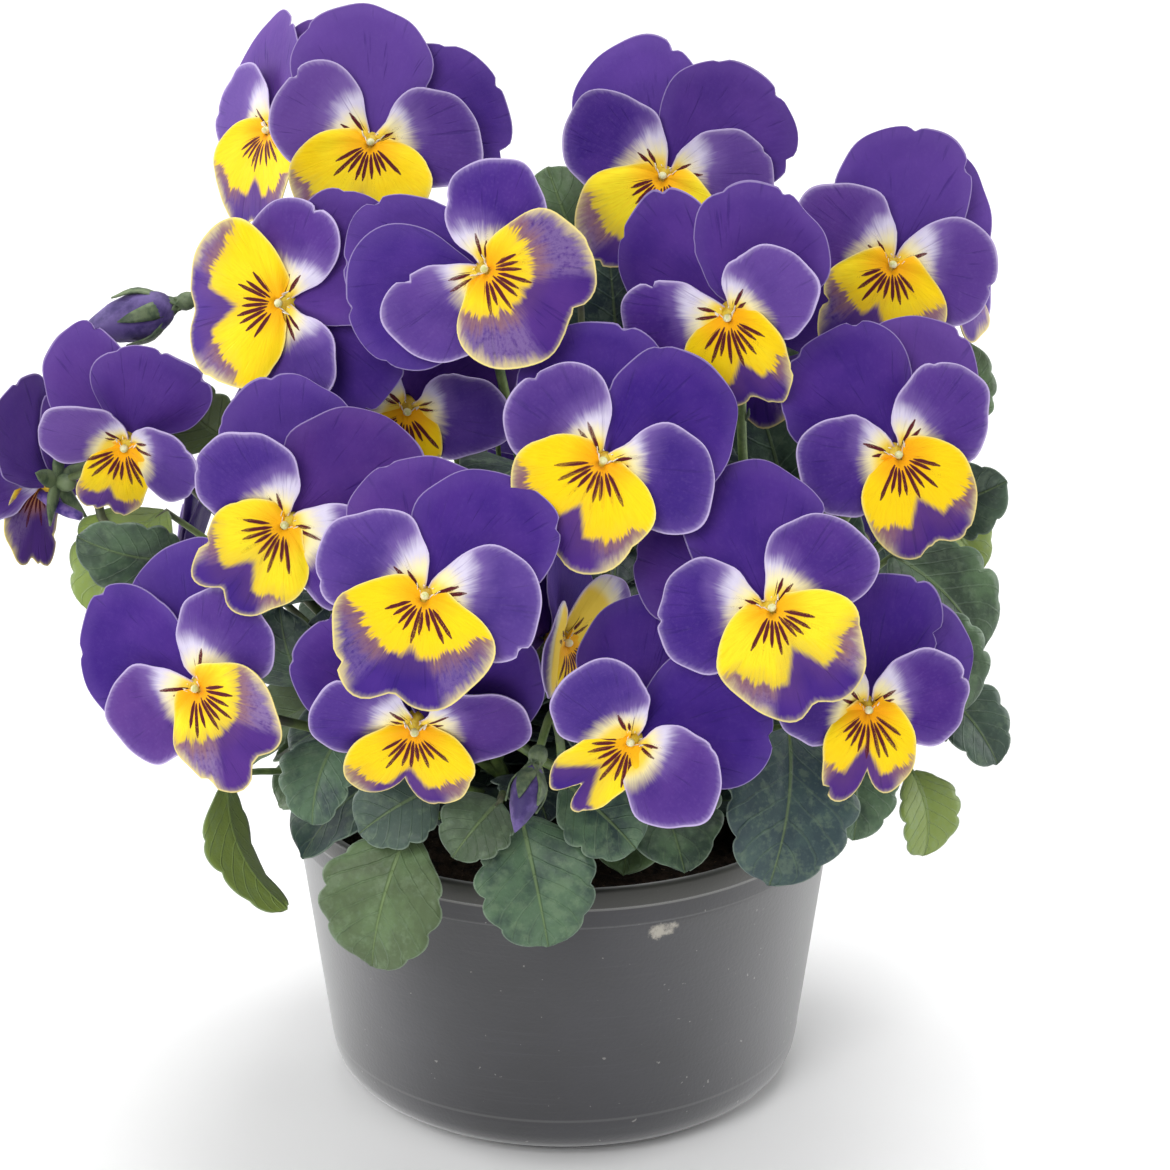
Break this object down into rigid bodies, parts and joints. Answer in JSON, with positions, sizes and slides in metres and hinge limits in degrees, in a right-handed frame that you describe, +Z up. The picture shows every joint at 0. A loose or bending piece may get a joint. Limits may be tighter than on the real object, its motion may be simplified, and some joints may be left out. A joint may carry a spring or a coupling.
{
  "type": "potted horned violet",
  "caption": "Bushy potted horned violet with violet-blue pansy-like blooms with yellow eyes, toothed leaves and a plain round nursery pot.",
  "frame": {"origin": "centre of the pot's flat underside", "axes": "+Z up from the surface that the pot stands on, -Y towards the front that the picture shows, +X to the front's right"},
  "size_m": [0.1988, 0.1799, 0.2185],
  "materials": {
    "pot": "satin dark grey nursery plastic",
    "soil": "matt potting soil",
    "foliage": "satin grey-green leaf and stem",
    "petals": "velvety violet petal with a yellow eye"
  },
  "bodies": {
    "root": {"bloom_01": "petals", "bloom_02": "petals", "bloom_03": "petals", "bloom_04": "petals", "bloom_05": "petals", "bloom_06": "petals", "bloom_07": "petals", "bloom_08": "petals", "bloom_09": "petals", "bloom_10": "petals", "bloom_11": "petals", "bloom_12": "petals", "bloom_13": "petals", "bloom_14": "petals", "bloom_15": "petals", "bloom_16": "petals", "bloom_17": "petals", "bloom_18": "petals", "bloom_19": "petals", "bloom_20": "petals", "bloom_21": "petals", "bloom_22": "petals", "bloom_23": "petals", "bloom_24": "petals", "bloom_25": "petals", "bloom_26": "petals", "bloom_27": "petals", "bloom_28": "petals", "bloom_29": "petals", "bloom_30": "petals", "bud_01": "petals", "bud_02": "petals", "leafy_stem_01": "foliage", "leafy_stem_02": "foliage", "leafy_stem_03": "foliage", "leafy_stem_04": "foliage", "leafy_stem_05": "foliage", "leafy_stem_06": "foliage", "leafy_stem_07": "foliage", "leafy_stem_08": "foliage", "leafy_stem_09": "foliage", "leafy_stem_10": "foliage", "leafy_stem_11": "foliage", "leafy_stem_12": "foliage", "pot": "pot", "soil": "soil"}
  },
  "joints": []
}
